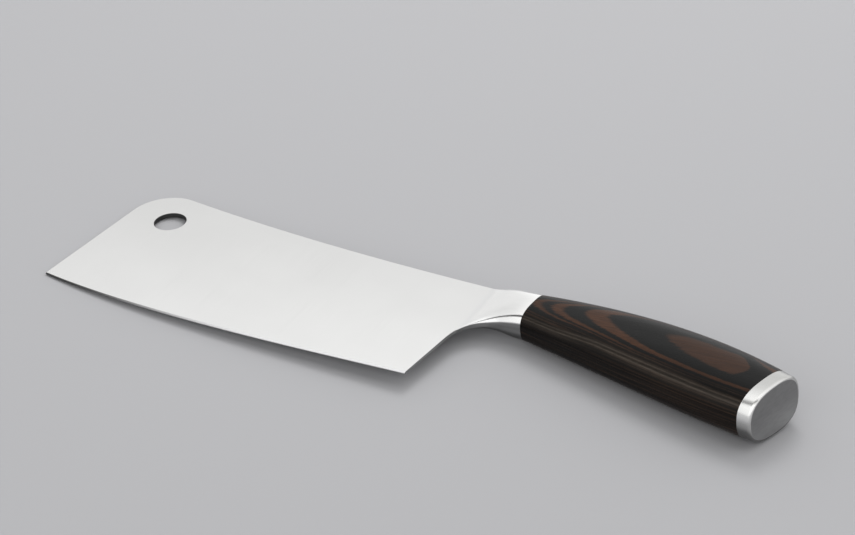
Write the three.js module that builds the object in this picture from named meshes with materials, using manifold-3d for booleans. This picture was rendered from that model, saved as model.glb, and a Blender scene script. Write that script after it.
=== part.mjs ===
// Kitchen cleaver lying on its side: flat-ground blade with a hang hole, forged bolster welded behind it,
// laminated-wood grip bored for a hidden tang, and a steel butt cap.
// The knife is drawn in its own plane: X from the nose to the butt, Y from the edge to the spine,
// Z across the blade. The whole knife is then tilted to lie on a level surface.
import * as THREE from "three";
import { mergeVertices } from "three/addons/utils/BufferGeometryUtils.js";
import Module from "manifold-3d";

// Blade outline, with Y = 0 on the straight rear part of the edge
const EDGE_LENGTH = 178; // tip to heel
const TIP_RISE = 9.8; // the tip's height over the straight edge
const BELLY_LENGTH = 143; // front part of the edge that curves up to the tip
const BELLY_PULL = 46; // where the tip's tangent meets the straight edge
const NOSE_HEIGHT = 86.65; // height of the corner where nose and spine would meet unrounded
const NOSE_LEAN = 8.2; // how far the nose leans back over its height
const NOSE_RADIUS = 17.5; // rounded top corner of the nose
const NECK_SPINE = 66.15; // height of the spine at the weld
const SPINE_HOLLOW = 2.9; // depth of the spine's shallow hollow
const HEEL_LEAN = 5.6; // how far the heel leans back over the height of the neck
const HEEL_RADIUS = 16; // fillet from the heel into the neck
const WELD_SETBACK = 5; // from the heel back to the weld

// Blade section
const SPINE_THICKNESS = 2.4; // at the nose's top corner
const EDGE_THICKNESS = 0.9; // where the flat grind would reach the edge
const BEVEL_WIDTH = 1;
const BEVEL_LAND = 0.3; // thickness left at the sharpened edge

// Hang hole
const HOLE_DIAMETER = 14;
const HOLE_FROM_TIP = 27.2; // along the blade
const HOLE_HEIGHT = 64.35;

// Grip and cap follow one curved axis from the bolster to the butt
const GRIP_SETBACK = 29.5; // from the heel to the front of the grip
const GRIP_HEIGHT = 53.55; // centre of the grip's front over the edge
const BUTT_REACH = 111; // from the grip's front to the butt face
const BUTT_DROP = 24.2; // how far the butt face's centre sits below the grip's front
const FRONT_DROOP = 5.6; // degrees, the axis leaving the bolster
const BUTT_DROOP = 17.6; // degrees, the axis at the butt face
const FRONT_PULL = 47; // how far the axis holds its direction at the front
const BUTT_PULL = 32; // and at the butt
const FRONT_WIDTH = 20.9;
const MIDDLE_WIDTH = 33.9;
const BUTT_WIDTH = 29.5;
const FRONT_DEPTH = 15.2; // depths are across the blade's plane
const MIDDLE_DEPTH = 20.8;
const BUTT_DEPTH = 22.7;
const FRONT_SQUARENESS = 2.86; // exponent of the rounded section, 2 is an ellipse
const BUTT_SQUARENESS = 2.6;
const SPINE_FULLNESS = 0.04; // the section is a little deeper toward the spine

// Bolster
const WELD_SQUARENESS = 20; // nearly a rectangle, as the blade is
const BELLY_FADE = 8; // how fast the corners round off behind the weld, along the belly
const SPINE_FADE = 3; // and along the spine
const SWELL_POWER = 1.4; // above 1 the bolster leaves the blade's face softly

// Butt cap
const CAP_LENGTH = 5.5; // along the axis, up to the butt face
const CAP_EASE = 1.1; // rounding between the cap's rim and its end face
const CAP_FLOOR = 2.2; // left between the tang's socket and the end face
const SPIGOT_WALL = 3.4; // around the tang's socket
const SPIGOT_LENGTH = 6; // how far the cap plugs into the wood

// Tang and the resin bed around it
const TANG_WIDTH = 9;
const TANG_DEPTH = 5;
const TANG_IN_BOLSTER = 7; // length seated in the bolster
const RESIN_WALL = 1.1;

// Clearance between neighbours that are welded, glued or seated together
const JOINT_GAP = 0.3;

// Fineness of the curved surfaces
const RING_POINTS = 48;
const GRIP_RINGS = 26;
const BOLSTER_RINGS = 14;
const EDGE_STEPS = 24;
const SPINE_STEPS = 14;
const CORNER_STEPS = 10;
const HOLE_STEPS = 40;
const EASE_STEPS = 4;
const REST_STEPS = 60;
const MERGE = 1e-4; // points closer than this are one point
const CUT_OVERRUN = 12; // cutting bars run this far past what they cut

// Colours and finishes
const BLADE_STEEL = { color: 0xdcdcda, metalness: 1, roughness: 0.28 };
const BOLSTER_STEEL = { color: 0xd6d6d4, metalness: 1, roughness: 0.2 };
const CAP_STEEL = { color: 0xb4b4b2, metalness: 1, roughness: 0.3 };
const TANG_STEEL = { color: 0x8a8a88, metalness: 1, roughness: 0.6 };
const RESIN = { color: 0x6b5a3a, metalness: 0, roughness: 0.5 };
const WOOD = { color: 0x3d2f27, metalness: 0, roughness: 0.45 };

const wasm = await Module();
wasm.setup();

// Small helpers

const at = (x, y) => new THREE.Vector2(x, y);
const lerp = THREE.MathUtils.lerp;

// Value of the parabola through a start, a middle and an end value, at t from 0 to 1.
function through(start, middle, end, t) {
  return start * (1 - t) * (1 - 2 * t) + 4 * middle * t * (1 - t) + end * t * (2 * t - 1);
}

// A closed surface from triangles given as lists of three points.
function surface(triangles) {
  const geometry = new THREE.BufferGeometry().setFromPoints(triangles.flat());
  return mergeVertices(geometry, MERGE);
}

function toSolid(geometry) {
  const bare = new THREE.BufferGeometry();
  bare.setAttribute("position", geometry.getAttribute("position"));
  if (geometry.index) bare.setIndex(geometry.index);
  const merged = mergeVertices(bare, MERGE);
  const mesh = new wasm.Mesh({
    numProp: 3,
    vertProperties: merged.getAttribute("position").array,
    triVerts: new Uint32Array(merged.index.array),
  });
  return new wasm.Manifold(mesh);
}

function toGeometry(solid) {
  const mesh = solid.getMesh();
  const geometry = new THREE.BufferGeometry();
  geometry.setAttribute("position", new THREE.BufferAttribute(mesh.vertProperties, 3));
  geometry.setIndex(new THREE.BufferAttribute(mesh.triVerts, 1));
  return geometry;
}

// Skin over a row of closed rings, with a flat face on the first and the last ring.
function loft(rings) {
  const triangles = [];
  const count = rings[0].length;
  for (let i = 0; i + 1 < rings.length; i++) {
    for (let k = 0; k < count; k++) {
      const next = (k + 1) % count;
      const [a, b] = [rings[i][k], rings[i][next]];
      const [c, d] = [rings[i + 1][k], rings[i + 1][next]];
      triangles.push([a, b, c], [b, d, c]);
    }
  }
  const first = rings[0];
  const last = rings[rings.length - 1];
  for (let k = 1; k + 1 < count; k++) {
    triangles.push([first[0], first[k + 1], first[k]]);
    triangles.push([last[0], last[k], last[k + 1]]);
  }
  return surface(triangles);
}

// Rounded section spanned between a belly point and a spine point of the knife's plane.
// Its spine half may be squarer than its belly half.
function ring(belly, spine, depth, squareness, fullness, spineSquareness = squareness) {
  const points = [];
  for (let k = 0; k < RING_POINTS; k++) {
    const angle = (2 * Math.PI * k) / RING_POINTS;
    const power = 2 / (Math.cos(angle) > 0 ? spineSquareness : squareness);
    const across = Math.sign(Math.cos(angle)) * Math.abs(Math.cos(angle)) ** power;
    const up = Math.sign(Math.sin(angle)) * Math.abs(Math.sin(angle)) ** power;
    const middle = belly.clone().lerp(spine, (1 + across) / 2);
    const height = (depth / 2) * up * (1 + fullness * across);
    points.push(new THREE.Vector3(middle.x, middle.y, height));
  }
  return points;
}

// Grip axis and its sections

const gripFront = at(EDGE_LENGTH + GRIP_SETBACK, GRIP_HEIGHT);
const buttCentre = at(gripFront.x + BUTT_REACH, gripFront.y - BUTT_DROP);
const heading = (droop) => at(1, 0).rotateAround(at(0, 0), -THREE.MathUtils.degToRad(droop));
const axis = new THREE.CubicBezierCurve(
  gripFront,
  gripFront.clone().addScaledVector(heading(FRONT_DROOP), FRONT_PULL),
  buttCentre.clone().addScaledVector(heading(BUTT_DROOP), -BUTT_PULL),
  buttCentre,
);
const axisLength = axis.getLength();

// Section of the grip at a distance along its axis, drawn in by an inset on all sides.
function gripSection(distance, inset = 0) {
  const t = axis.getUtoTmapping(0, THREE.MathUtils.clamp(distance, 0, axisLength));
  const overrun = distance - THREE.MathUtils.clamp(distance, 0, axisLength);
  const along = axis.getTangent(t);
  const centre = axis.getPoint(t).addScaledVector(along, overrun);
  const toSpine = at(-along.y, along.x);
  const width = through(FRONT_WIDTH, MIDDLE_WIDTH, BUTT_WIDTH, t) - 2 * inset;
  return {
    belly: centre.clone().addScaledVector(toSpine, -width / 2),
    spine: centre.clone().addScaledVector(toSpine, width / 2),
    depth: through(FRONT_DEPTH, MIDDLE_DEPTH, BUTT_DEPTH, t) - 2 * inset,
    squareness: lerp(FRONT_SQUARENESS, BUTT_SQUARENESS, t),
    centre,
    along,
  };
}

function gripRing(distance, inset = 0) {
  const s = gripSection(distance, inset);
  return ring(s.belly, s.spine, s.depth, s.squareness, SPINE_FULLNESS);
}

// Neck: the heel's fillet runs on as the bolster's belly side

const weldX = EDGE_LENGTH + WELD_SETBACK;
const bolsterRear = gripSection(-JOINT_GAP); // the bolster's rear face
const neckBelly = bolsterRear.belly.y;
const heelAngle = Math.atan2(HEEL_LEAN, neckBelly);
const fillet = at(0, neckBelly - HEEL_RADIUS);
fillet.x = EDGE_LENGTH + (HEEL_RADIUS + fillet.y * Math.sin(heelAngle)) / Math.cos(heelAngle);

function bellyHeight(x) {
  const run = Math.min(x - fillet.x, 0);
  return fillet.y + Math.sqrt(HEEL_RADIUS ** 2 - run ** 2);
}

// Blade

const halfThickness = (p) => lerp(EDGE_THICKNESS, SPINE_THICKNESS, p.y / NOSE_HEIGHT) / 2;
const tip = at(0, TIP_RISE);
const noseCorner = at(NOSE_LEAN, NOSE_HEIGHT);
const weldSpine = at(weldX, NECK_SPINE);
const noseUp = noseCorner.clone().sub(tip).normalize();
const heelUp = at(Math.sin(heelAngle), Math.cos(heelAngle));

// The spine curves from the weld to the nose's corner, hollow in the middle.
const spineMiddle = weldSpine.clone().lerp(noseCorner, 0.5).sub(at(0, 2 * SPINE_HOLLOW));
const spineUp = noseCorner.clone().sub(spineMiddle).normalize();

// Tangent points and centre of the arc that rounds the nose's corner.
const cornerTurn = Math.acos(-noseUp.dot(spineUp));
const cornerCut = NOSE_RADIUS * Math.tan(cornerTurn / 2);

function outlineOfBlade() {
  const edge = [];
  const belly = new THREE.QuadraticBezierCurve(tip, at(BELLY_PULL, 0), at(BELLY_LENGTH, 0));
  edge.push(...belly.getPoints(EDGE_STEPS), at(EDGE_LENGTH, 0));
  const shoulder = edge.map((p, i) => {
    const inward = noseUp.clone().lerp(heelUp, i / (edge.length - 1)).normalize();
    return p.clone().addScaledVector(inward, BEVEL_WIDTH);
  });
  const rest = [];
  const heelEnd = Math.PI - heelAngle;
  const weldEnd = Math.acos((weldX - fillet.x) / HEEL_RADIUS);
  for (let i = 0; i <= CORNER_STEPS; i++) {
    const angle = lerp(heelEnd, weldEnd, i / CORNER_STEPS);
    rest.push(at(Math.cos(angle), Math.sin(angle)).multiplyScalar(HEEL_RADIUS).add(fillet));
  }
  const cornerFromSpine = noseCorner.clone().addScaledVector(spineUp, -cornerCut);
  const cornerFromNose = noseCorner.clone().addScaledVector(noseUp, -cornerCut);
  const spine = new THREE.QuadraticBezierCurve(weldSpine, spineMiddle, cornerFromSpine);
  rest.push(...spine.getPoints(SPINE_STEPS));
  const centre = cornerFromNose.clone().add(at(noseUp.y, -noseUp.x).multiplyScalar(NOSE_RADIUS));
  const from = cornerFromSpine.clone().sub(centre).angle();
  for (let i = 1; i <= CORNER_STEPS; i++) {
    const turn = (cornerTurn * i) / CORNER_STEPS;
    const spoke = at(Math.cos(from + turn), Math.sin(from + turn));
    rest.push(spoke.multiplyScalar(NOSE_RADIUS).add(centre));
  }
  return { edge, shoulder, rest, noseTop: cornerFromNose };
}

function bladeGeometry(outline) {
  const { edge, shoulder, rest } = outline;
  const contour = [...shoulder, ...rest];
  const hole = [];
  for (let i = 0; i < HOLE_STEPS; i++) {
    const angle = (2 * Math.PI * i) / HOLE_STEPS;
    const spoke = at(Math.cos(angle), Math.sin(angle)).multiplyScalar(HOLE_DIAMETER / 2);
    hole.push(spoke.add(at(HOLE_FROM_TIP, HOLE_HEIGHT)));
  }
  const top = (p) => new THREE.Vector3(p.x, p.y, halfThickness(p));
  const bottom = (p) => new THREE.Vector3(p.x, p.y, -halfThickness(p));
  const landTop = (p) => new THREE.Vector3(p.x, p.y, BEVEL_LAND / 2);
  const landBottom = (p) => new THREE.Vector3(p.x, p.y, -BEVEL_LAND / 2);
  const triangles = [];
  const quad = (a, b, c, d) => triangles.push([a, b, c], [a, c, d]);
  const all = [...contour, ...hole];
  for (const [i, j, k] of THREE.ShapeUtils.triangulateShape(contour, [hole])) {
    triangles.push([top(all[i]), top(all[j]), top(all[k])]);
    triangles.push([bottom(all[k]), bottom(all[j]), bottom(all[i])]);
  }
  for (let i = 0; i + 1 < edge.length; i++) {
    const [e, f] = [edge[i], edge[i + 1]];
    const [s, t] = [shoulder[i], shoulder[i + 1]];
    quad(landTop(e), landTop(f), top(t), top(s));
    quad(landBottom(e), landBottom(f), landTop(f), landTop(e));
    quad(bottom(s), bottom(t), landBottom(f), landBottom(e));
  }
  const wall = [shoulder[shoulder.length - 1], ...rest, shoulder[0]];
  for (let i = 0; i + 1 < wall.length; i++) {
    quad(bottom(wall[i]), bottom(wall[i + 1]), top(wall[i + 1]), top(wall[i]));
  }
  hole.forEach((p, i) => {
    const q = hole[(i + 1) % hole.length];
    quad(bottom(q), bottom(p), top(p), top(q));
  });
  const heel = edge.length - 1;
  quad(landBottom(edge[heel]), bottom(shoulder[heel]), top(shoulder[heel]), landTop(edge[heel]));
  quad(landTop(edge[0]), top(shoulder[0]), bottom(shoulder[0]), landBottom(edge[0]));
  return surface(triangles);
}

// Tang: a straight bar from the bolster to the cap, on the line through the grip's two ends

const capFront = gripSection(axisLength - CAP_LENGTH);
const tangRun = capFront.centre.clone().sub(gripFront);
const tangStart = -TANG_IN_BOLSTER;
const tangEnd = tangRun.length() + CAP_LENGTH - CAP_FLOOR;

// A bar along the tang's line, from one distance to another measured from the grip's front.
function tangBar(from, to, width, depth) {
  const bar = new THREE.BoxGeometry(to - from, width, depth);
  bar.translate((from + to) / 2, 0, 0);
  bar.rotateZ(tangRun.angle());
  bar.translate(gripFront.x, gripFront.y, 0);
  return bar;
}

function tangHollow(from, to, clearance) {
  return toSolid(tangBar(from, to, TANG_WIDTH + 2 * clearance, TANG_DEPTH + 2 * clearance));
}

// Bolster: swells from the blade's section at the weld to the grip's front section

function bolsterGeometry() {
  const frontX = weldX + JOINT_GAP;
  const bellyHalf = halfThickness(at(frontX, bellyHeight(frontX)));
  const spineHalf = halfThickness(at(frontX, NECK_SPINE));
  const frontDepth = bellyHalf + spineHalf;
  const frontFullness = (spineHalf - bellyHalf) / frontDepth;
  const squareness = (v, fade) => lerp(FRONT_SQUARENESS, WELD_SQUARENESS, (1 - v) ** fade);
  const rings = [];
  for (let i = 0; i <= BOLSTER_RINGS; i++) {
    const v = i / BOLSTER_RINGS;
    const bellyX = lerp(frontX, bolsterRear.belly.x, v);
    const belly = at(bellyX, bellyHeight(bellyX));
    const spine = at(frontX, NECK_SPINE).lerp(bolsterRear.spine, v);
    const depth = lerp(frontDepth, FRONT_DEPTH, Math.sin((v * Math.PI) / 2) ** SWELL_POWER);
    const fullness = lerp(frontFullness, SPINE_FULLNESS, v);
    rings.push(ring(belly, spine, depth, squareness(v, BELLY_FADE), fullness, squareness(v, SPINE_FADE)));
  }
  const socket = tangHollow(tangStart - JOINT_GAP, CUT_OVERRUN, JOINT_GAP);
  return toGeometry(toSolid(loft(rings)).subtract(socket));
}

// Grip, cap and resin bed

// The cap's plug: a straight bar square to the cap's front, rooted inside the cap.
function spigotBar(clearance) {
  const root = CAP_LENGTH - CAP_FLOOR;
  const length = SPIGOT_LENGTH + clearance + root;
  const wall = JOINT_GAP + SPIGOT_WALL + clearance;
  const bar = new THREE.BoxGeometry(length, TANG_WIDTH + 2 * wall, TANG_DEPTH + 2 * wall);
  bar.translate(root - length / 2, 0, 0);
  bar.rotateZ(capFront.along.angle());
  bar.translate(capFront.centre.x, capFront.centre.y, 0);
  return bar;
}

function gripLoft() {
  const rings = [];
  const end = axisLength - CAP_LENGTH;
  for (let i = 0; i <= GRIP_RINGS; i++) rings.push(gripRing((end * i) / GRIP_RINGS));
  return toSolid(loft(rings));
}

function gripGeometry() {
  const pocket = tangHollow(-CUT_OVERRUN, tangEnd + CUT_OVERRUN, RESIN_WALL + 2 * JOINT_GAP);
  const counterbore = toSolid(spigotBar(JOINT_GAP));
  return toGeometry(gripLoft().subtract(pocket).subtract(counterbore));
}

function resinGeometry() {
  const bed = tangHollow(-CUT_OVERRUN, tangEnd + CUT_OVERRUN, RESIN_WALL + JOINT_GAP);
  const tangSpace = tangHollow(-CUT_OVERRUN, tangEnd + CUT_OVERRUN, JOINT_GAP);
  const counterbore = toSolid(spigotBar(JOINT_GAP));
  return toGeometry(gripLoft().intersect(bed).subtract(tangSpace).subtract(counterbore));
}

function capGeometry() {
  const start = axisLength - CAP_LENGTH + JOINT_GAP;
  const rings = [gripRing(start)];
  for (let i = 0; i <= EASE_STEPS; i++) {
    const angle = (Math.PI / 2) * (i / EASE_STEPS);
    const drawnIn = CAP_EASE * (1 - Math.cos(angle));
    rings.push(gripRing(axisLength - CAP_EASE * (1 - Math.sin(angle)), drawnIn));
  }
  const body = toSolid(loft(rings)).add(toSolid(spigotBar(0)));
  const socket = tangHollow(0, tangEnd + JOINT_GAP, JOINT_GAP);
  return toGeometry(body.subtract(socket));
}

// Assembly

function piece(name, geometry, finish) {
  const mesh = new THREE.Mesh(geometry, new THREE.MeshStandardMaterial(finish));
  mesh.name = name;
  return mesh;
}

const outline = outlineOfBlade();
const tangMesh = piece("tang", tangBar(tangStart, tangEnd, TANG_WIDTH, TANG_DEPTH), TANG_STEEL);
const knife = new THREE.Group();
knife.add(
  piece("blade", bladeGeometry(outline), BLADE_STEEL),
  piece("bolster", bolsterGeometry(), BOLSTER_STEEL),
  piece("grip", gripGeometry(), WOOD),
  piece("tang_resin", resinGeometry(), RESIN),
  tangMesh,
  piece("butt_cap", capGeometry(), CAP_STEEL),
);

// At rest the knife lies on the lower corner of its nose and on the lower swell of the grip.
function restingNormal() {
  const under = (p) => new THREE.Vector3(p.x, p.y, -halfThickness(p));
  const noseLow = under(outline.shoulder[0]);
  const noseAlong = under(outline.noseTop).sub(noseLow);
  let normal = new THREE.Vector3(0, 0, 1);
  for (let i = 0; i <= REST_STEPS; i++) {
    const s = gripSection((axisLength * i) / REST_STEPS);
    const swell = new THREE.Vector3(s.centre.x, s.centre.y, -s.depth / 2).sub(noseLow);
    const tried = swell.cross(noseAlong).normalize();
    if (tried.x > normal.x) normal = tried;
  }
  return normal;
}

knife.quaternion.setFromUnitVectors(restingNormal(), new THREE.Vector3(0, 0, 1));

// The frame's origin lies under the middle of the knife, on the surface that it lies on.
const cleaver = new THREE.Group();
cleaver.add(knife);
cleaver.updateMatrixWorld(true);
const box = new THREE.Box3().setFromObject(cleaver, true);
knife.position.set(-(box.min.x + box.max.x) / 2, -(box.min.y + box.max.y) / 2, -box.min.z);

export default cleaver;
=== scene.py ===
"""Looks of a kitchen cleaver on its side: satin blade, polished bolster, laminated grip and steel cap.

Each visible part is a fine mesh drawn by the same rules as the frame's solid that it stands for. The knife
is drawn in its own plane (X from the nose to the butt, Y from the edge to the spine, Z across the blade,
metres), and then tilted as it lies on the floor, on its nose and on the swell of its grip.
"""

import math

import bpy
import numpy as np
from mathutils import Matrix, Vector
from mathutils.geometry import tessellate_polygon


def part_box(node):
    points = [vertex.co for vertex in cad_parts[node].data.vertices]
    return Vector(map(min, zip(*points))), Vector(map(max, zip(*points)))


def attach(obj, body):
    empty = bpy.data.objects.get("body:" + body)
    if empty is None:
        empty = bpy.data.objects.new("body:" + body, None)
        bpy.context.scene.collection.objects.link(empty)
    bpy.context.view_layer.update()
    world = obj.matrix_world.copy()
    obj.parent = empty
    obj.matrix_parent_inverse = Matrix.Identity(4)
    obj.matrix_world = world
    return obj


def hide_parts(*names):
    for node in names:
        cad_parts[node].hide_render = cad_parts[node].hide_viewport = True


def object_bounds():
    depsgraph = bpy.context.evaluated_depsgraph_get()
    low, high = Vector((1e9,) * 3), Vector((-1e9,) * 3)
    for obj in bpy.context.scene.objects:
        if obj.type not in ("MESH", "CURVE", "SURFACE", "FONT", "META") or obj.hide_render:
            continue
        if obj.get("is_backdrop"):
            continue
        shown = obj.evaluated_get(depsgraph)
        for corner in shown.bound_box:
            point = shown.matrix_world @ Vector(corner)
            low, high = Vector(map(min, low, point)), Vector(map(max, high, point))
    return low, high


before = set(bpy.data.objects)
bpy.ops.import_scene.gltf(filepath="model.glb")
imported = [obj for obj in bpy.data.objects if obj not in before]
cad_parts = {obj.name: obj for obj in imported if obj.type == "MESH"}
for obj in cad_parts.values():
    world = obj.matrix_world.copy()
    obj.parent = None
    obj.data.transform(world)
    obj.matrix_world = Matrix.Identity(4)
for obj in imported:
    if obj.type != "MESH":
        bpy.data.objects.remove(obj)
cad_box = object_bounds()

# Blade outline, with Y = 0 on the straight rear part of the edge
EDGE_LENGTH = 0.1780
TIP_RISE = 0.0098
BELLY_LENGTH = 0.1430  # front part of the edge that curves up to the tip
BELLY_PULL = 0.0460
NOSE_HEIGHT = 0.08665
NOSE_LEAN = 0.0082
NOSE_RADIUS = 0.0175
NECK_SPINE = 0.06615  # height of the spine at the weld
SPINE_HOLLOW = 0.0029
HEEL_LEAN = 0.0056
HEEL_RADIUS = 0.0160
WELD_SETBACK = 0.0050

# Blade section
SPINE_THICKNESS = 0.0024
EDGE_THICKNESS = 0.0009
BEVEL_WIDTH = 0.0006
BEVEL_LAND = 0.0003
EDGE_BREAK = 0.00015  # broken corners along the spine, the nose, the heel and the hole

# Hang hole
HOLE_RADIUS = 0.0070
HOLE_CENTRE = np.array([0.0272, 0.06435])

# Grip and cap along one curved axis
GRIP_SETBACK = 0.0295
GRIP_HEIGHT = 0.05355
BUTT_REACH = 0.1110
BUTT_DROP = 0.0242
FRONT_DROOP = math.radians(5.6)
BUTT_DROOP = math.radians(17.6)
FRONT_PULL = 0.0470
BUTT_PULL = 0.0320
WIDTHS = (0.0209, 0.0339, 0.0295)  # at the front, the middle and the butt
DEPTHS = (0.0152, 0.0208, 0.0227)
FRONT_SQUARENESS = 2.86
BUTT_SQUARENESS = 2.6
SPINE_FULLNESS = 0.04

# Bolster
WELD_SQUARENESS = 20
BELLY_FADE = 8  # how fast the corners round off behind the weld, along the belly and along the spine
SPINE_FADE = 3
SWELL_POWER = 1.4

# Cap, tang and the hollows around it
CAP_LENGTH = 0.0055
CAP_EASE = 0.0011
CAP_FLOOR = 0.0022
SPIGOT_WALL = 0.0034
SPIGOT_LENGTH = 0.0060
TANG_WIDTH = 0.0090
TANG_DEPTH = 0.0050
TANG_IN_BOLSTER = 0.0070
RESIN_WALL = 0.0011
JOINT_GAP = 0.0003  # clearance around the hidden tang, resin and spigot
SEAM = 0.00002  # hairline left at the joints that show
WELD_SEAM = 0.000002  # the weld is ground flush
WOOD_EASE = 0.0001  # the wood's sanded ends

# Fineness
RING_POINTS = 192
GRIP_RINGS = 120
BOLSTER_RINGS = 72
CURVE_STEPS = 64
HOLE_STEPS = 96
EASE_STEPS = 8
AXIS_STEPS = 400
REST_STEPS = 60
CREASE = math.radians(30)  # angle from which an edge shows as sharp
BLADE_CREASE = math.radians(8)


# Small helpers


def unit(v):
    return v / np.linalg.norm(v)


def lerp(a, b, t):
    return a + (b - a) * t


def through(values, t):
    """Value at t of the parabola through a start, a middle and an end value."""
    start, middle, end = values
    return start * (1 - t) * (1 - 2 * t) + 4 * middle * t * (1 - t) + end * t * (2 * t - 1)


def bezier(points, t):
    """Points at parameters t of the Bezier curve with these control points."""
    points = [np.asarray(p, float) for p in points]
    t = np.atleast_1d(t)[:, None]
    while len(points) > 1:
        points = [lerp(a, b, t) for a, b in zip(points, points[1:])]
    return points[0]


def arc(centre, radius, start, end, steps):
    """Points of an arc, from one angle to another."""
    angles = np.linspace(start, end, steps + 1)
    return centre + radius * np.column_stack([np.cos(angles), np.sin(angles)])


def left_of(v):
    return np.array([-v[1], v[0]])


# Grip axis and its sections

GRIP_FRONT = np.array([EDGE_LENGTH + GRIP_SETBACK, GRIP_HEIGHT])
BUTT_CENTRE = GRIP_FRONT + (BUTT_REACH, -BUTT_DROP)
AXIS = [
    GRIP_FRONT,
    GRIP_FRONT + FRONT_PULL * np.array([math.cos(FRONT_DROOP), -math.sin(FRONT_DROOP)]),
    BUTT_CENTRE - BUTT_PULL * np.array([math.cos(BUTT_DROOP), -math.sin(BUTT_DROOP)]),
    BUTT_CENTRE,
]
axis_t = np.linspace(0, 1, AXIS_STEPS + 1)
axis_steps = np.linalg.norm(np.diff(bezier(AXIS, axis_t), axis=0), axis=1)
axis_run = np.concatenate([[0], np.cumsum(axis_steps)])
AXIS_LENGTH = axis_run[-1]
RING_ANGLES = np.linspace(0, 2 * math.pi, RING_POINTS, endpoint=False)


class Section:
    """The grip's section at a distance along its axis, drawn in by an inset on all sides."""

    def __init__(self, distance, inset=0.0):
        inside = min(max(distance, 0), AXIS_LENGTH)
        t = np.interp(inside, axis_run, axis_t)
        self.along = unit(bezier(np.diff(AXIS, axis=0), t)[0])
        self.centre = bezier(AXIS, t)[0] + self.along * (distance - inside)
        half_width = through(WIDTHS, t) / 2 - inset
        self.belly = self.centre - left_of(self.along) * half_width
        self.spine = self.centre + left_of(self.along) * half_width
        self.depth = through(DEPTHS, t) - 2 * inset
        self.squareness = lerp(FRONT_SQUARENESS, BUTT_SQUARENESS, t)

    def ring(self):
        return ring(self.belly, self.spine, self.depth, [self.squareness] * 2, SPINE_FULLNESS)


def ring(belly, spine, depth, squareness, fullness):
    """Rounded section between a belly point and a spine point, with a squareness for either half."""
    c, s = np.cos(RING_ANGLES), np.sin(RING_ANGLES)
    power = 2 / np.where(c < 0, *squareness)
    across = np.sign(c) * np.abs(c) ** power
    up = np.sign(s) * np.abs(s) ** power
    flat = lerp(belly, spine, (1 + across[:, None]) / 2)
    return np.column_stack([flat, depth / 2 * up * (1 + fullness * across)])


def bar_ring(start, along, width, depth, plane_point, plane_normal):
    """Rectangular ring where a bar along a line is cut off by a plane."""
    c, s = np.cos(RING_ANGLES), np.sin(RING_ANGLES)
    reach = 1 / np.maximum(np.abs(c) / (width / 2), np.abs(s) / (depth / 2))
    flat = start + np.outer(c * reach, left_of(along))
    slide = ((plane_point - flat) @ plane_normal) / (along @ plane_normal)
    return np.column_stack([flat + np.outer(slide, along), s * reach])


def skin(rings, loop=False):
    """Mesh over a row of rings, with flat ends, or with the last ring joined to the first."""
    count = len(rings[0])
    faces = []
    for i in range(len(rings) if loop else len(rings) - 1):
        here = i * count
        there = (i + 1) % len(rings) * count
        for k in range(count):
            n = (k + 1) % count
            faces.append((here + k, here + n, there + n, there + k))
    if not loop:
        last = (len(rings) - 1) * count
        faces.append(tuple(reversed(range(count))))
        faces.append(tuple(range(last, last + count)))
    return np.concatenate(rings), faces


# Neck: the heel's fillet runs on as the bolster's belly side

WELD_X = EDGE_LENGTH + WELD_SETBACK
bolster_rear = Section(-SEAM)
neck_belly = bolster_rear.belly[1]
heel_angle = math.atan2(HEEL_LEAN, neck_belly)
fillet_y = neck_belly - HEEL_RADIUS
fillet = np.array([
    EDGE_LENGTH + (HEEL_RADIUS + fillet_y * math.sin(heel_angle)) / math.cos(heel_angle),
    fillet_y,
])


def belly_height(x):
    run = min(x - fillet[0], 0)
    return fillet[1] + math.sqrt(HEEL_RADIUS**2 - run**2)


# Blade

TIP = np.array([0, TIP_RISE])
NOSE_CORNER = np.array([NOSE_LEAN, NOSE_HEIGHT])
WELD_SPINE = np.array([WELD_X, NECK_SPINE])
nose_up = unit(NOSE_CORNER - TIP)
heel_up = np.array([math.sin(heel_angle), math.cos(heel_angle)])
curve_t = np.linspace(0, 1, CURVE_STEPS + 1)
SIDE, BEVEL, CUT_RIM, HOLE_WALL = range(4)  # places of the blade's materials


def half_thickness(points):
    return lerp(EDGE_THICKNESS, SPINE_THICKNESS, points[:, 1] / NOSE_HEIGHT) / 2


def blade_outline():
    """The edge from tip to heel, its bevel's shoulder, and the rest of the outline round to the nose."""
    belly = bezier([TIP, (BELLY_PULL, 0), (BELLY_LENGTH, 0)], curve_t)
    edge = np.vstack([belly, (EDGE_LENGTH, 0)])
    shoulder = edge + BEVEL_WIDTH * lerp(nose_up, heel_up, np.linspace(0, 1, len(edge))[:, None])
    heel_end = math.acos((WELD_X - fillet[0]) / HEEL_RADIUS)
    heel = arc(fillet, HEEL_RADIUS, math.pi - heel_angle, heel_end, CURVE_STEPS)
    spine_middle = (WELD_SPINE + NOSE_CORNER) / 2 - (0, 2 * SPINE_HOLLOW)
    spine_up = unit(NOSE_CORNER - spine_middle)
    turn = math.acos(-nose_up @ spine_up)
    cut = NOSE_RADIUS * math.tan(turn / 2)
    spine_end = NOSE_CORNER - cut * spine_up
    nose_top = NOSE_CORNER - cut * nose_up
    spine = bezier([WELD_SPINE, spine_middle, spine_end], curve_t)
    corner = nose_top - NOSE_RADIUS * left_of(nose_up)
    from_spine = spine_end - corner
    start = math.atan2(from_spine[1], from_spine[0])
    nose = arc(corner, NOSE_RADIUS, start, start + turn, CURVE_STEPS)[1:]
    return edge, shoulder, np.vstack([heel, spine, nose])


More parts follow.
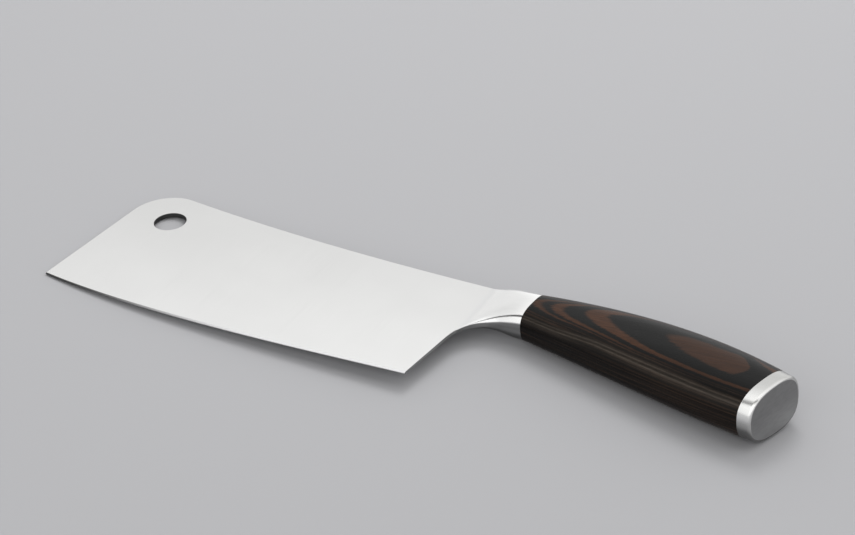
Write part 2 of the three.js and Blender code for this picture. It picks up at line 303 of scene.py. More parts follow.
def drawn_in(points, distance):
    """A closed outline moved inward, to its left, by a distance."""
    ahead = np.roll(points, -1, axis=0) - points
    ahead /= np.linalg.norm(ahead, axis=1)[:, None]
    behind = np.roll(ahead, 1, axis=0)
    normals = np.column_stack([-ahead[:, 1] - behind[:, 1], ahead[:, 0] + behind[:, 0]])
    normals /= np.linalg.norm(normals, axis=1)[:, None]
    mitre = -normals[:, 0] * ahead[:, 1] + normals[:, 1] * ahead[:, 0]
    return points + distance * normals / mitre[:, None]


def blade_mesh():
    """Two flat sides joined by rims: the bevel and the broken corners outside, the hole's wall inside.

    The third value holds the place of each face's material.
    """
    edge, shoulder, rest = blade_outline()
    body = np.vstack([shoulder, rest])
    face = np.vstack([shoulder, drawn_in(body, EDGE_BREAK)[len(shoulder):]])
    face[np.isclose(body[:, 0], WELD_X), 0] = WELD_X
    rim = np.vstack([edge, rest])
    rim_half = np.concatenate([np.full(len(edge), BEVEL_LAND / 2), half_thickness(rest) - EDGE_BREAK])
    hole = arc(HOLE_CENTRE, HOLE_RADIUS, 0, -2 * math.pi, HOLE_STEPS)[:-1]
    hole_face = drawn_in(hole, EDGE_BREAK)
    hole_half = half_thickness(hole) - EDGE_BREAK
    points, faces, kinds = [], [], []

    def add(flat, height):
        start = sum(len(p) for p in points)
        points.append(np.column_stack([flat, height]))
        return np.arange(start, start + len(flat))

    bands = []
    for inner, outer, outer_half in ((face, rim, rim_half), (hole_face, hole, hole_half)):
        inner_half = half_thickness(inner)
        rows = [
            add(inner, inner_half),
            add(outer, outer_half),
            add(outer, -outer_half),
            add(inner, -inner_half),
        ]
        bands.append(rows)
        for upper, lower in zip(rows, rows[1:]):
            for k in range(len(upper)):
                n = (k + 1) % len(upper)
                faces.append((upper[k], lower[k], lower[n], upper[n]))
                kinds.append(HOLE_WALL if outer is hole else BEVEL if k < len(edge) - 1 else CUT_RIM)
    flat = [[Vector((*p, 0)) for p in contour] for contour in (face, hole_face)]
    top = np.concatenate([rows[0] for rows in bands])
    bottom = np.concatenate([rows[-1] for rows in bands])
    for a, b, c in tessellate_polygon(flat):
        faces.append((top[a], top[b], top[c]))
        faces.append((bottom[c], bottom[b], bottom[a]))
        kinds.extend([SIDE, SIDE])
    return np.concatenate(points), [tuple(map(int, f)) for f in faces], kinds


# Bolster, grip and cap

cap_front = Section(AXIS_LENGTH - CAP_LENGTH)
tang_run = cap_front.centre - GRIP_FRONT
tang_along = unit(tang_run)
tang_end = np.linalg.norm(tang_run) + CAP_LENGTH - CAP_FLOOR
RIM, END = range(2)  # places of the cap's materials


def tang_ring(clearance, plane_point, plane_normal):
    width, depth = TANG_WIDTH + 2 * clearance, TANG_DEPTH + 2 * clearance
    return bar_ring(GRIP_FRONT, tang_along, width, depth, plane_point, plane_normal)


def spigot_ring(clearance, distance):
    """Ring of the cap's spigot at a distance in front of the cap."""
    wall = JOINT_GAP + SPIGOT_WALL + clearance
    point = cap_front.centre - cap_front.along * distance
    width, depth = TANG_WIDTH + 2 * wall, TANG_DEPTH + 2 * wall
    return bar_ring(point, cap_front.along, width, depth, point, cap_front.along)


def bolster_mesh():
    front_x = WELD_X + WELD_SEAM
    ends = np.array([(front_x, belly_height(front_x)), (front_x, NECK_SPINE)])
    belly_half, spine_half = half_thickness(ends)
    front_depth = belly_half + spine_half
    front_fullness = (spine_half - belly_half) / front_depth
    rings = []
    for v in np.linspace(0, 1, BOLSTER_RINGS + 1):
        belly_x = lerp(front_x, bolster_rear.belly[0], v)
        belly = np.array([belly_x, belly_height(belly_x)])
        spine = lerp(ends[1], bolster_rear.spine, v)
        depth = lerp(front_depth, DEPTHS[0], math.sin(v * math.pi / 2) ** SWELL_POWER)
        edged = [(1 - v) ** fade for fade in (BELLY_FADE, SPINE_FADE)]
        square = [lerp(FRONT_SQUARENESS, WELD_SQUARENESS, share) for share in edged]
        rings.append(ring(belly, spine, depth, square, lerp(front_fullness, SPINE_FULLNESS, v)))
    rings.append(tang_ring(JOINT_GAP, bolster_rear.centre, bolster_rear.along))
    socket_floor = GRIP_FRONT - tang_along * (TANG_IN_BOLSTER + JOINT_GAP)
    rings.append(tang_ring(JOINT_GAP, socket_floor, tang_along))
    return skin(rings)


def grip_mesh():
    end = AXIS_LENGTH - CAP_LENGTH
    rings = [Section(0, WOOD_EASE).ring()]
    rings += [Section(d).ring() for d in np.linspace(WOOD_EASE, end - WOOD_EASE, GRIP_RINGS + 1)]
    rings.append(Section(end, WOOD_EASE).ring())
    bore = RESIN_WALL + 2 * JOINT_GAP
    counterbore = SPIGOT_LENGTH + JOINT_GAP
    floor_point = cap_front.centre - cap_front.along * counterbore
    rings.append(spigot_ring(JOINT_GAP, 0))
    rings.append(spigot_ring(JOINT_GAP, counterbore))
    rings.append(tang_ring(bore, floor_point, cap_front.along))
    rings.append(tang_ring(bore, GRIP_FRONT, Section(0).along))
    return skin(rings, loop=True)


def cap_mesh():
    """The cap with its spigot and socket. The third value holds the place of each face's material."""
    socket_floor = GRIP_FRONT + tang_along * (tang_end + JOINT_GAP)
    spigot_tip = cap_front.centre - cap_front.along * SPIGOT_LENGTH
    rings = [tang_ring(JOINT_GAP, socket_floor, tang_along)]
    rings.append(tang_ring(JOINT_GAP, spigot_tip, cap_front.along))
    rings.append(spigot_ring(0, SPIGOT_LENGTH))
    rings.append(spigot_ring(0, -SEAM))
    rings.append(Section(AXIS_LENGTH - CAP_LENGTH + SEAM).ring())
    for angle in np.linspace(0, math.pi / 2, EASE_STEPS + 1):
        along = AXIS_LENGTH - CAP_EASE * (1 - math.sin(angle))
        rings.append(Section(along, CAP_EASE * (1 - math.cos(angle))).ring())
    points, faces = skin(rings)
    return points, faces, [RIM] * (len(faces) - 1) + [END]


# The knife's tilt in the frame: it lies on the lower side of its nose and on the lower swell of the grip


def resting_pose(blade_points):
    """Turn and shift from the knife's own plane to the frame, set by the frame's own blade."""
    _, shoulder, rest = blade_outline()
    nose = np.vstack([shoulder[:1], rest[-1:]])
    low, high = np.column_stack([nose, -half_thickness(nose)])
    normal = np.array([0.0, 0.0, 1.0])
    for distance in np.linspace(0, AXIS_LENGTH, REST_STEPS + 1):
        section = Section(distance)
        swell = np.append(section.centre, -section.depth / 2)
        tried = unit(np.cross(swell - low, high - low))
        if tried[0] > normal[0]:
            normal = tried
    turn = Vector(normal).rotation_difference(Vector((0, 0, 1))).to_matrix()
    turned = blade_points @ np.array(turn).T
    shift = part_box("blade")[0] - Vector(turned.min(axis=0))
    return Matrix.Translation(shift) @ turn.to_4x4()


blade_data = blade_mesh()
lie = resting_pose(blade_data[0])
# An empty that holds the knife's own plane, from which the materials read their patterns
knife_plane = bpy.data.objects.new("knife_plane", None)
bpy.context.scene.collection.objects.link(knife_plane)
knife_plane.matrix_world = lie
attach(knife_plane, "root")


# Material helpers

BRUSH_DETAIL = 4.0
NOISE_MIDDLE = (0.3, 0.7)  # where most of a noise's values lie


class Nodes:
    """Adds nodes to a shader tree and links their inputs."""

    def __init__(self, tree):
        self.tree = tree

    def put(self, socket, value):
        if isinstance(value, bpy.types.NodeSocket):
            self.tree.links.new(value, socket)
        else:
            socket.default_value = value

    def node(self, kind, inputs, output=0, **settings):
        node = self.tree.nodes.new("ShaderNode" + kind)
        for key, value in settings.items():
            setattr(node, key, value)
        for key, value in inputs.items():
            self.put(node.inputs[key], value)
        return node.outputs[output]

    def math(self, operation, *values):
        return self.node("Math", dict(enumerate(values)), operation=operation)

    def times(self, first, *others):
        product = first
        for other in others:
            product = self.math("MULTIPLY", product, other)
        return product

    def scaled(self, vector, factor):
        return self.node("VectorMath", {0: vector, "Scale": factor}, operation="SCALE")

    def split(self, vector):
        node = self.tree.nodes.new("ShaderNodeSeparateXYZ")
        self.put(node.inputs[0], vector)
        return node.outputs

    def spread(self, value, levels, span=NOISE_MIDDLE):
        """Runs smoothly from the first level to the second as the value crosses a span."""
        inputs = {"Value": value, "From Min": span[0], "From Max": span[1]}
        inputs.update({"To Min": levels[0], "To Max": levels[1]})
        return self.node("MapRange", inputs, interpolation_type="SMOOTHSTEP")

    def rising(self, value, span=NOISE_MIDDLE):
        return self.spread(value, (0, 1), span)

    def falling(self, value, span):
        return self.spread(value, (1, 0), span)

    def mix(self, factor, a, b):
        return self.node("Mix", {0: factor, 6: a, 7: b}, output=2, data_type="RGBA")

    def ramp(self, value, stops):
        """Level that runs straight from stop to stop, each a place from 0 to 1 and a level."""
        node = self.tree.nodes.new("ShaderNodeValToRGB")
        self.put(node.inputs[0], value)
        elements = node.color_ramp.elements
        elements[0].position, elements[1].position = stops[0][0], stops[-1][0]
        for place, _ in stops[1:-1]:
            elements.new(place)
        for element, (_, level) in zip(elements, stops):
            element.color = (level, level, level, 1)
        return node.outputs[0]


class Paint(Nodes):
    """A node material that reads its patterns from the knife's own plane."""

    def __init__(self, name):
        self.material = bpy.data.materials.new(name)
        self.material.use_nodes = True
        super().__init__(self.material.node_tree)
        self.shader = self.tree.nodes["Principled BSDF"]
        coordinates = self.tree.nodes.new("ShaderNodeTexCoord")
        coordinates.object = knife_plane
        self.place = coordinates.outputs["Object"]
        self.normal = coordinates.outputs["Normal"]

    def noise(self, per_metre, detail=2.0):
        """Noise whose grains have these counts per metre along X, Y and Z."""
        vector = self.node("VectorMath", {0: self.place, 1: per_metre}, operation="MULTIPLY")
        return self.node("TexNoise", {"Vector": vector, "Scale": 1.0, "Detail": detail})

    def bump(self, height, distance):
        self.put(self.shader.inputs["Normal"], self.node("Bump", {"Distance": distance, "Height": height}))

    def finish(self, **sockets):
        for key, value in sockets.items():
            self.put(self.shader.inputs[key.replace("_", " ")], value)
        return self.material

    def finish_brushed(self, tone, lines, relief, rough, blue=1.0):
        """Finishes as steel of a grey tone, whose relief and roughness follow the lines of its brushing."""
        colour = self.node("CombineXYZ", {0: tone, 1: tone, 2: self.times(tone, blue)})
        self.bump(lines, relief)
        return self.finish(Base_Color=colour, Metallic=1.0, Roughness=self.spread(lines, rough))


# Steel. Tones are the share of light that it gives back, and brushings are marks per metre along X, Y and Z.
# Tilts are the share of a surface's normal that points up or to the spine.

# Some tones below also hold painted shade or a painted reflection, where their names say so.
ALONG_KNIFE = (60, 900, 900)
ACROSS_BUTT = (900, 60, 900)
ACROSS_SIDE = (2500, 25, 25)
ACROSS_BEVEL = (3000, 40, 40)
AROUND_RIM = (40, 40, 4000)
AS_ROLLED = (60, 1500, 1500)
STEEL_BLUE = 0.99  # how much blue it gives back beside red and green
CAP_BLUE = 0.98

# The satin tones hold a painted reflection: brighter toward the edge, darker toward the spine.
SATIN_TONES_WITH_PAINTED_REFLECTION = (0.855, 0.748)  # from the edge to the spine
SATIN_HEIGHTS = (-0.010, 0.085)
SATIN_CLOUDS = (25, 30, 30)
SATIN_CLOUD_TONES = (0.985, 1.01)
SATIN_LINE_TONES = (0.99, 1.01)
SATIN_ROUGHNESS = (0.22, 0.26)
SATIN_RELIEF = 0.0000004

POLISHED_TONES = (0.89, 0.91)
POLISH_FROM = WELD_X - 0.0012  # where the bolster's satin gives way to polish
POLISH_TO = WELD_X + 0.0045
BOLSTER_ROUGHNESS = (0.24, 0.12)  # from the weld to the grip
# The belly and spine sides are rougher from grinding, and their dark tones are painted shade, darker again
# underneath.
GROUND_PAINTED_SHADE_TONES = (0.22, 0.28)
GROUND_UNDERSIDE_PAINTED_SHADE = 0.18
UNDERSIDE_PAINTED_SHADE_TILT = (-0.25, -0.02)
GROUND_AND_SHADE_TOP_TILT = (0.20, 0.36)  # where the ground sides end, toward the upper face and toward the lower one
GROUND_AND_SHADE_BOTTOM_TILT = (-0.92, -0.80)
GROUND_ROUGHER = 0.2
BOLSTER_RELIEF = 0.0000003

# Painted shade on the cap's rim: darker underneath and toward the spine.
CAP_UNDER_PAINTED_SHADE_TONES = (0.24, 1)
CAP_UNDER_PAINTED_SHADE_TILT = (-0.18, 0.24)
CAP_SPINE_PAINTED_SHADE_TONES = (1, 0.56)
CAP_SPINE_PAINTED_SHADE_TILT = (-0.60, 0.10)
CAP_LINE_TONES = (0.92, 0.94)
CAP_ROUGHNESS = (0.23, 0.27)
CAP_RELIEF = 0.0000002
# The end's tones hold a painted reflection, brighter toward the floor.
END_TONES_WITH_PAINTED_REFLECTION = (0.40, 0.25)  # from the floor up
END_HEIGHTS = (-0.011, 0.003)
END_LINE_TONES = (0.93, 1.05)
END_ROUGHNESS = (0.38, 0.44)
END_RELIEF = 0.0000005

# The bevel's tones are a painted reflection, dark at the tip and brighter toward the heel.
BEVEL_PAINTED_REFLECTION_TONES = (0.09, 0.97)  # from the tip toward the heel
BEVEL_PAINTED_REFLECTION_SPAN = (0.010, 0.115)
BEVEL_LINE_TONES = (0.94, 1.0)
BEVEL_ROUGHNESS = (0.26, 0.34)
BEVEL_RELIEF = 0.000001

PLAIN_CLOUDS = (45, 60, 60)
PLAIN_BRUSH_SHARE = 0.35  # of the brushing beside the clouds
PLAIN_TONE_SPAN = (0.45, 0.95)
PLAIN_ROUGH_SPAN = (0.4, 1.0)
PLAIN_ROUGH_SHARES = (0.85, 1.2)  # of the roughness that is named for each
CUT_RIM_TONES = (0.33, 0.40)
CUT_RIM_ROUGHNESS = 0.38
# The hole's wall is nearly black as painted shade inside the hole.
HOLE_WALL_PAINTED_SHADE_TONES = (0.06, 0.085)
HOLE_WALL_ROUGHNESS = 0.40
CUT_RELIEF = 0.000002
ROLLED_TONES = (0.30, 0.45)
ROLLED_ROUGHNESS = 0.5
ROLLED_RELIEF = 0.000004


def grey(level):
    return (level, level, level * STEEL_BLUE, 1.0)


def plain_steel(name, tones, rough, brushing, relief):
    """Steel as it was cut, bored or rolled: cloudy tone, and roughness that follows it."""
    paint = Paint(name)
    lines = paint.noise(brushing, BRUSH_DETAIL)
    tone = paint.math("MULTIPLY_ADD", lines, PLAIN_BRUSH_SHARE, paint.noise(PLAIN_CLOUDS))
    colour = paint.mix(paint.rising(tone, PLAIN_TONE_SPAN), *map(grey, tones))
    roughness = paint.spread(tone, [rough * share for share in PLAIN_ROUGH_SHARES], PLAIN_ROUGH_SPAN)
    paint.bump(lines, relief)
    return paint.finish(Base_Color=colour, Metallic=1.0, Roughness=roughness)


def cut_rim_steel():
    return plain_steel("cut_rim_steel", CUT_RIM_TONES, CUT_RIM_ROUGHNESS, AROUND_RIM, CUT_RELIEF)


# Steel of the hole's wall, painted dark as painted shade.
def hole_wall_painted_shade_steel():
    return plain_steel("hole_wall_painted_shade_steel", HOLE_WALL_PAINTED_SHADE_TONES, HOLE_WALL_ROUGHNESS, AROUND_RIM, CUT_RELIEF)


def rolled_steel():
    return plain_steel("rolled_steel", ROLLED_TONES, ROLLED_ROUGHNESS, AS_ROLLED, ROLLED_RELIEF)


def satin_tone_and_painted_reflection(paint):
    """Tone of the satin sides, with a painted reflection that makes them a little brighter toward the edge.
    """
    return paint.spread(paint.split(paint.place)[1], SATIN_TONES_WITH_PAINTED_REFLECTION, SATIN_HEIGHTS)


def satin_steel():
    """The blade's sides: fine brushing across the blade, faint clouds, and a painted reflection brighter
    toward the edge.
    """
    paint = Paint("satin_steel")
    lines = paint.noise(ACROSS_SIDE, BRUSH_DETAIL)
    clouded = paint.spread(paint.noise(SATIN_CLOUDS, detail=3.0), SATIN_CLOUD_TONES)
    tone = paint.times(satin_tone_and_painted_reflection(paint), clouded, paint.spread(lines, SATIN_LINE_TONES))
    return paint.finish_brushed(tone, lines, SATIN_RELIEF, SATIN_ROUGHNESS, STEEL_BLUE)


def bolster_steel():
    """Satin on from the weld, polished toward the grip, and rougher from grinding along its belly and spine,
    which carry painted shade, most underneath.
    """
    paint = Paint("bolster_steel")
    x = paint.split(paint.place)[0]
    upright = paint.split(paint.normal)[2]
    lines = paint.noise(ALONG_KNIFE, BRUSH_DETAIL)
    streaks = paint.rising(lines)
    polished = paint.mix(streaks, *map(grey, POLISHED_TONES))
    broad = paint.mix(paint.rising(x, (POLISH_FROM, POLISH_TO)), satin_tone_and_painted_reflection(paint), polished)
    # Painted shade on the belly and spine sides, darker still where they face down.
    ground_and_painted_shade = paint.mix(streaks, *map(grey, GROUND_PAINTED_SHADE_TONES))
    ground_and_painted_shade = paint.mix(paint.falling(upright, UNDERSIDE_PAINTED_SHADE_TILT), ground_and_painted_shade, grey(GROUND_UNDERSIDE_PAINTED_SHADE))
    sides = paint.times(paint.falling(upright, GROUND_AND_SHADE_TOP_TILT), paint.rising(upright, GROUND_AND_SHADE_BOTTOM_TILT))
    roughness = paint.spread(x, BOLSTER_ROUGHNESS, (POLISH_FROM, bolster_rear.centre[0]))
    paint.bump(lines, BOLSTER_RELIEF)
    return paint.finish(
        Base_Color=paint.mix(sides, broad, ground_and_painted_shade),
        Metallic=1.0,
        Roughness=paint.math("MULTIPLY_ADD", sides, GROUND_ROUGHER, roughness),
    )


def cap_steel():
    """Polished rim of the cap, darkened underneath and toward the spine by painted shade."""
    paint = Paint("cap_steel")
    _, across, upright = paint.split(paint.normal)
    lines = paint.noise(ALONG_KNIFE, BRUSH_DETAIL)
    # Painted shade, underneath and toward the spine.
    painted_shade_under = paint.spread(upright, CAP_UNDER_PAINTED_SHADE_TONES, CAP_UNDER_PAINTED_SHADE_TILT)
    spine = paint.spread(across, CAP_SPINE_PAINTED_SHADE_TONES, CAP_SPINE_PAINTED_SHADE_TILT)
    tone = paint.times(painted_shade_under, spine, paint.spread(lines, CAP_LINE_TONES))
    return paint.finish_brushed(tone, lines, CAP_RELIEF, CAP_ROUGHNESS, CAP_BLUE)


def end_steel():
    """The cap's flat end: brushed across, with a painted reflection that makes it a little brighter toward
    the floor.
    """
    paint = Paint("end_steel")
    lines = paint.noise(ACROSS_BUTT, BRUSH_DETAIL)
    tone = paint.spread(paint.split(paint.place)[2], END_TONES_WITH_PAINTED_REFLECTION, END_HEIGHTS)
    streaked = paint.times(tone, paint.spread(lines, END_LINE_TONES))
    return paint.finish_brushed(streaked, lines, END_RELIEF, END_ROUGHNESS)


def bevel_steel():
    """The honed bevel: marked across the edge, with a painted reflection that is dark at the tip and
    brighter toward the heel.
    """
    paint = Paint("bevel_steel")
    lines = paint.noise(ACROSS_BEVEL, BRUSH_DETAIL)
    tone = paint.spread(paint.split(paint.place)[0], BEVEL_PAINTED_REFLECTION_TONES, BEVEL_PAINTED_REFLECTION_SPAN)
    streaked = paint.times(tone, paint.spread(lines, BEVEL_LINE_TONES))
    return paint.finish_brushed(streaked, lines, BEVEL_RELIEF, BEVEL_ROUGHNESS)


# Wood, in millimetres

MILLIMETRES = 1000
# Veneers through one repeat of the block: thickness, and tone from 0 for black to 1 for brown
VENEERS = [
    (0.23, 0),
    (0.12, 0.5),
    (0.52, 0),
    (0.15, 0.8),
    (0.19, 0),
    (0.215, 0.95),
    (0.39, 0),
    (0.40, 1),
    (0.79, 0),
    (0.515, 0.68),
]
VENEER_SOFTNESS = 0.08  # over which one veneer gives way to the next
VENEER_START = 7.10  # height of a repeat's start over the knife's plane
VENEER_RISE = 0.0084  # the veneers rise a little toward the butt
VENEER_FALL = 0.0228  # and fall a little toward the spine
VENEER_LEVEL = (240, 49.25)  # where in the knife's plane the heights are taken
# Bend of a parabola that runs close to the grip's axis
AXIS_BEND = (BUTT_DROP - BUTT_REACH * math.tan(FRONT_DROOP)) / BUTT_REACH**2 / MILLIMETRES
# Off that axis they twist and cup, one way at the bolster and the other way along the rest
VENEER_TWIST = (-0.040, 0.0132)
VENEER_CUP = (-0.0040, 0.0011)
VENEER_WARP_SPAN = (8, 34)  # behind the bolster
# They lie higher toward the cap, other than along the edge side
BUTT_RISE = 0.72
BUTT_RISE_SPAN = (299, 312)  # behind the tip
BUTT_RISE_SIDE = (-8, -2.5)  # off the axis
# They also lie higher along the spine side of the palm's swell
SPINE_RISE = 0.27
SPINE_RISE_SPAN = (45, 80)  # behind the bolster
SPINE_RISE_SIDE = (1, 7)  # off the axis
VENEER_WAVES = (-0.08, 0.08)  # slow waves in the veneers
VENEER_FRAYS = (-0.035, 0.035)  # and fine fibres along their edges

# The ridge along the edge side carries a painted highlight in two lines. Their place is told by the
# surface's tilt
# toward the spine: it starts with the first number, changes by the second with each millimetre behind the
# bolster, and by the third at the bolster's end, which fades out over the span below.
RIDGE_TILT = (-0.545, -0.0022, -0.13)
RIDGE_EASE_SPAN = (12, 36)
# How bright the painted highlight is, by the tilt past that place
RIDGE_PAINTED_SHEEN = [
    (-0.20, 0),
    (-0.08, 0.24),
    (-0.035, 0.40),
    (0, 1.15),
    (0.04, 0.45),
    (0.09, 0.34),
    (0.13, 0.80),
    (0.17, 0.25),
    (0.22, 0),
]

# Grains per metre along X, Y and Z
WAVE_GRAINS = (22, 60, 60)
STREAK_GRAINS = (60, 1800, 1800)
FIBRE_GRAINS = (12, 30, 800)
PORE_GRAINS = (25, 900, 2500)

FACE_BLACK = (0.0030, 0.0030, 0.0028, 1)
FACE_BROWN = (0.0485, 0.0200, 0.0094, 1)
FACE_TILT = (0.90, 0.995)  # from the veneers' cut edges to their broad faces
# On the sides the veneers' cut edges take more dye, and their colours also hold painted shade.
EDGE_GRAIN_AND_SHADE_BLACK = (0.0035, 0.0023, 0.0016, 1)
EDGE_GRAIN_AND_SHADE_BROWN = (0.0140, 0.0082, 0.0052, 1)
EDGE_FIBRES = (0.25, 2.1)
EDGE_FIBRE_SPAN = (0.40, 0.64)
# A pale, greyish colour laid over the ridge as a painted highlight.
PAINTED_SHEEN_WOOD = (0.064, 0.052, 0.042, 1)
PAINTED_SHEEN_FIBRES = (0.8, 1.05)
PAINTED_SHEEN_FIBRE_SPAN = (0.38, 0.64)
PORE_SHADES = (0.82, 1.15)
PORE_RELIEF = 0.00002  # metres
WOOD_ROUGHNESS = (0.26, 0.36)
WOOD_SPECULAR = 0.13


def grip_place(paint, x, y):
    """Distance behind the bolster, and distance off the grip's axis toward the spine."""
    front_x, front_y = GRIP_FRONT * MILLIMETRES
    along = paint.math("SUBTRACT", x, front_x)
    slope = paint.math("MULTIPLY_ADD", along, AXIS_BEND, math.tan(FRONT_DROOP))
    axis_drop = paint.times(along, slope)
    return along, paint.math("SUBTRACT", paint.math("ADD", y, axis_drop), front_y)


def block_height(paint, place, along, off_axis, streaks):
    """Height in the laminated block, measured across its slanted, warped and wavy veneers."""
    x, y, z = place
    rise = paint.times(paint.math("SUBTRACT", x, VENEER_LEVEL[0]), VENEER_RISE)
    fall = paint.times(paint.math("SUBTRACT", y, VENEER_LEVEL[1]), VENEER_FALL)
    height = paint.math("ADD", paint.math("SUBTRACT", z, rise), fall)
    twist = paint.spread(along, VENEER_TWIST, VENEER_WARP_SPAN)
    cup = paint.spread(along, VENEER_CUP, VENEER_WARP_SPAN)
    warp = paint.times(off_axis, paint.math("MULTIPLY_ADD", off_axis, cup, twist))
    height = paint.math("ADD", height, warp)
    at_butt = paint.spread(x, (0, -BUTT_RISE), BUTT_RISE_SPAN)
    height = paint.math("MULTIPLY_ADD", at_butt, paint.rising(off_axis, BUTT_RISE_SIDE), height)
    at_spine = paint.spread(along, (0, -SPINE_RISE), SPINE_RISE_SPAN)
    height = paint.math("MULTIPLY_ADD", at_spine, paint.rising(off_axis, SPINE_RISE_SIDE), height)
    waves = paint.spread(paint.noise(WAVE_GRAINS, detail=1.0), VENEER_WAVES)
    height = paint.math("ADD", height, waves)
    return paint.math("ADD", height, paint.spread(streaks, VENEER_FRAYS))


def veneer_brown(paint, height):
    """How brown the wood is at a height in the block."""
    repeat = sum(thickness for thickness, _ in VENEERS)
    phase = paint.math("FRACT", paint.math("DIVIDE", paint.math("SUBTRACT", height, VENEER_START), repeat))
    level = 0
    stops = [(0, VENEERS[0][1])]
    for (thickness, tone), (_, following) in zip(VENEERS, VENEERS[1:]):
        level += thickness
        stops.append(((level - VENEER_SOFTNESS / 2) / repeat, tone))
        stops.append(((level + VENEER_SOFTNESS / 2) / repeat, following))
    return paint.ramp(phase, stops)


def ridge_painted_sheen(paint, along, across):
    """How bright the painted highlight is along the ridge."""
    start, growth, steeper = RIDGE_TILT
    eased = paint.spread(along, (start + steeper, start), RIDGE_EASE_SPAN)
    ridge = paint.math("MULTIPLY_ADD", along, growth, eased)
    first, last = RIDGE_PAINTED_SHEEN[0][0], RIDGE_PAINTED_SHEEN[-1][0]
    past = paint.math("SUBTRACT", paint.math("SUBTRACT", across, ridge), first)
    stops = [((tilt - first) / (last - first), level) for tilt, level in RIDGE_PAINTED_SHEEN]
    return paint.ramp(paint.math("DIVIDE", past, last - first), stops)


def laminated_wood():
    """Dyed veneers: loops on the broad faces, fine lines on the sides, darker partly as painted shade, and a
    painted highlight along the ridge between them.
    """
    paint = Paint("laminated_wood")
    place = paint.split(paint.scaled(paint.place, MILLIMETRES))
    along, off_axis = grip_place(paint, place[0], place[1])
    streaks = paint.noise(STREAK_GRAINS, detail=3.0)
    fibres = paint.noise(FIBRE_GRAINS, detail=3.0)
    pores = paint.noise(PORE_GRAINS, detail=5.0)
    brown = veneer_brown(paint, block_height(paint, place, along, off_axis, streaks))
    _, across, upright = paint.split(paint.normal)
    on_face = paint.mix(brown, FACE_BLACK, FACE_BROWN)
    # Darker sides: partly the cut edges, and partly painted shade.
    on_edge_and_shade = paint.mix(brown, EDGE_GRAIN_AND_SHADE_BLACK, EDGE_GRAIN_AND_SHADE_BROWN)
    on_edge_and_shade = paint.scaled(on_edge_and_shade, paint.spread(fibres, EDGE_FIBRES, EDGE_FIBRE_SPAN))
    colour = paint.mix(paint.rising(paint.math("ABSOLUTE", upright), FACE_TILT), on_edge_and_shade, on_face)
    # Painted highlight along the ridge.
    sheen = ridge_painted_sheen(paint, along, across)
    sheen_share = paint.times(sheen, paint.spread(fibres, PAINTED_SHEEN_FIBRES, PAINTED_SHEEN_FIBRE_SPAN))
    colour = paint.mix(sheen_share, colour, PAINTED_SHEEN_WOOD)
    paint.bump(pores, PORE_RELIEF)
    return paint.finish(
        Base_Color=paint.scaled(colour, paint.spread(pores, PORE_SHADES)),
        Roughness=paint.spread(streaks, WOOD_ROUGHNESS),
        Specular_IOR_Level=WOOD_SPECULAR,
    )


# Resin around the tang

RESIN_FLOW = (200, 400, 400)
RESIN_DARK = (0.16, 0.11, 0.05, 1)
RESIN_CLEAR = (0.24, 0.17, 0.08, 1)
RESIN_RELIEF = 0.00005
RESIN_ROUGHNESS = (0.3, 0.5)


def cured_resin():
    paint = Paint("cured_resin")
    flow = paint.noise(RESIN_FLOW, detail=3.0)
    colour = paint.mix(paint.rising(flow), RESIN_DARK, RESIN_CLEAR)
    paint.bump(flow, RESIN_RELIEF)
    return paint.finish(Base_Color=colour, Roughness=paint.spread(flow, RESIN_ROUGHNESS))


# Pieces


def piece(name, node, mesh_data, materials, crease=CREASE):
    """Makes a mesh object that stands for a CAD node and lies as the knife does."""
    points, faces, *kinds = mesh_data
    mesh = bpy.data.meshes.new(name)
    mesh.from_pydata([tuple(p) for p in points], [], faces)
    mesh.transform(lie)
    for material in materials:
        mesh.materials.append(material)
    if kinds:
        mesh.polygons.foreach_set("material_index", kinds[0])
    mesh.shade_smooth()
    mesh.set_sharp_from_angle(angle=crease)
    mesh.update()
    obj = bpy.data.objects.new(name, mesh)
    bpy.context.scene.collection.objects.link(obj)
    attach(obj, "root")
    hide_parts(node)


blade_steels = [satin_steel(), bevel_steel(), cut_rim_steel(), hole_wall_painted_shade_steel()]
cap_steels = [cap_steel(), end_steel()]

piece("blade_finished", "blade", blade_data, blade_steels, BLADE_CREASE)
piece("bolster_finished", "bolster", bolster_mesh(), [bolster_steel()])
piece("grip_finished", "grip", grip_mesh(), [laminated_wood()])
piece("cap_finished", "butt_cap", cap_mesh(), cap_steels)
for node, material in (("tang", rolled_steel()), ("tang_resin", cured_resin())):
    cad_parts[node].data.materials.clear()
    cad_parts[node].data.materials.append(material)


# Floor, light and camera

FLOOR_SIZE = 8.0
FLOOR_COLOUR = (0.41, 0.41, 0.4223, 1)
FLOOR_ROUGHNESS = 0.9
# Studio brightness by the angle around the knife's length: 0 is level behind it, 90 overhead, 180 in front
SKY = [
    (0, 1.14),
    (15, 1.12),
    (32, 1.05),
    (60, 1.08),
    (84, 1.14),
    (101, 1.14),
    (104, 0.12),
    (118, 0.12),
    (121, 1.20),
    (150, 1.13),
    (168, 1.10),
    (180, 1.00),
]
SKY_END_LEVELS = (0.76, 1)  # the banks of light are weaker beyond the nose
SKY_END_SPAN = (-0.75, -0.30)
KEY_AZIMUTH = math.radians(190)
KEY_ELEVATION = math.radians(55)
KEY_DISTANCE = 1.3
KEY_SIZE = 0.5
KEY_RADIANCE = 7.5
CAMERA_AZIMUTH = math.radians(29.749)
CAMERA_ELEVATION = math.radians(32.101)
CAMERA_ROLL = math.radians(-2.989)
CAMERA_TARGET = Vector((-0.01700, 0.03918, 0))
CAMERA_DISTANCE = 1.03113
IMAGE_WIDTH = 855
FOCAL_PIXELS = 2470.0


def from_direction(azimuth, elevation):
    """Unit vector from the object toward a viewer or lamp; azimuth 0 is in front of the edge."""
    flat = math.cos(elevation)
    return Vector((math.sin(azimuth) * flat, -math.cos(azimuth) * flat, math.sin(elevation)))


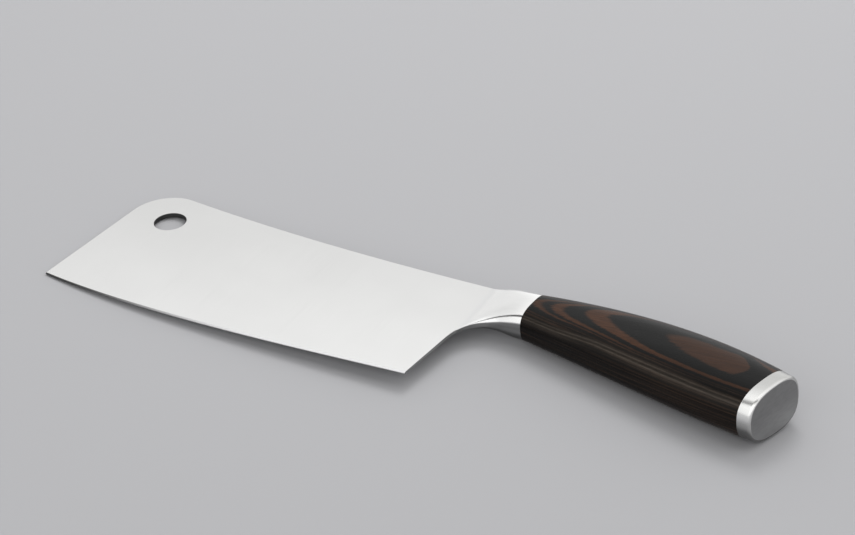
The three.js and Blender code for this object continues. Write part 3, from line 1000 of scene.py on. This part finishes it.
def make_floor():
    mesh = bpy.data.meshes.new("floor")
    half = FLOOR_SIZE / 2
    corners = [(-half, -half, 0), (half, -half, 0), (half, half, 0), (-half, half, 0)]
    mesh.from_pydata(corners, [], [(0, 1, 2, 3)])
    paper = Paint("floor_paper").finish(Base_Color=FLOOR_COLOUR, Roughness=FLOOR_ROUGHNESS)
    mesh.materials.append(paper)
    floor = bpy.data.objects.new("floor", mesh)
    bpy.context.scene.collection.objects.link(floor)
    floor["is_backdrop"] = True


def make_world():
    """Long banks of soft light behind and in front of the knife, and a dark strip overhead between them."""
    world = bpy.data.worlds.new("studio")
    world.use_nodes = True
    nodes = Nodes(world.node_tree)
    x, y, z = nodes.split(nodes.node("TexCoord", {}, output="Generated"))
    half_turns = nodes.math("DIVIDE", nodes.math("ARCTAN2", z, y), math.pi)
    level = nodes.ramp(half_turns, [(angle / 180, level) for angle, level in SKY])
    length = nodes.spread(x, SKY_END_LEVELS, SKY_END_SPAN)
    background = nodes.tree.nodes["Background"]
    background.inputs["Color"].default_value = (1, 1, 1, 1)
    nodes.put(background.inputs["Strength"], nodes.times(level, length))
    bpy.context.scene.world = world


def make_key_light():
    """A soft square lamp above and behind the knife, which the steel doesn't mirror."""
    lamp = bpy.data.lights.new("key_light", "AREA")
    lamp.size = KEY_SIZE
    lamp.energy = KEY_RADIANCE * math.pi * KEY_SIZE**2
    obj = bpy.data.objects.new("key_light", lamp)
    toward = from_direction(KEY_AZIMUTH, KEY_ELEVATION)
    obj.location = toward * KEY_DISTANCE
    obj.rotation_euler = toward.to_track_quat("Z", "Y").to_euler()
    obj.visible_camera = False
    obj.visible_glossy = False
    bpy.context.scene.collection.objects.link(obj)


def make_camera():
    data = bpy.data.cameras.new("camera")
    data.lens = data.sensor_width * FOCAL_PIXELS / IMAGE_WIDTH
    camera = bpy.data.objects.new("camera", data)
    back = from_direction(CAMERA_AZIMUTH, CAMERA_ELEVATION)
    right = Vector((math.cos(CAMERA_AZIMUTH), math.sin(CAMERA_AZIMUTH), 0))
    level = Matrix((right, back.cross(right), back)).transposed()
    turn = level @ Matrix.Rotation(CAMERA_ROLL, 3, "Z")
    camera.matrix_world = Matrix.Translation(CAMERA_TARGET + back * CAMERA_DISTANCE) @ turn.to_4x4()
    bpy.context.scene.collection.objects.link(camera)
    bpy.context.scene.camera = camera


make_floor()
make_world()
make_key_light()
make_camera()
bpy.context.scene.view_settings.view_transform = "Standard"

boxes = {"cad": cad_box, "visual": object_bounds()}
{name: [list(corner) for corner in box] for name, box in boxes.items()}
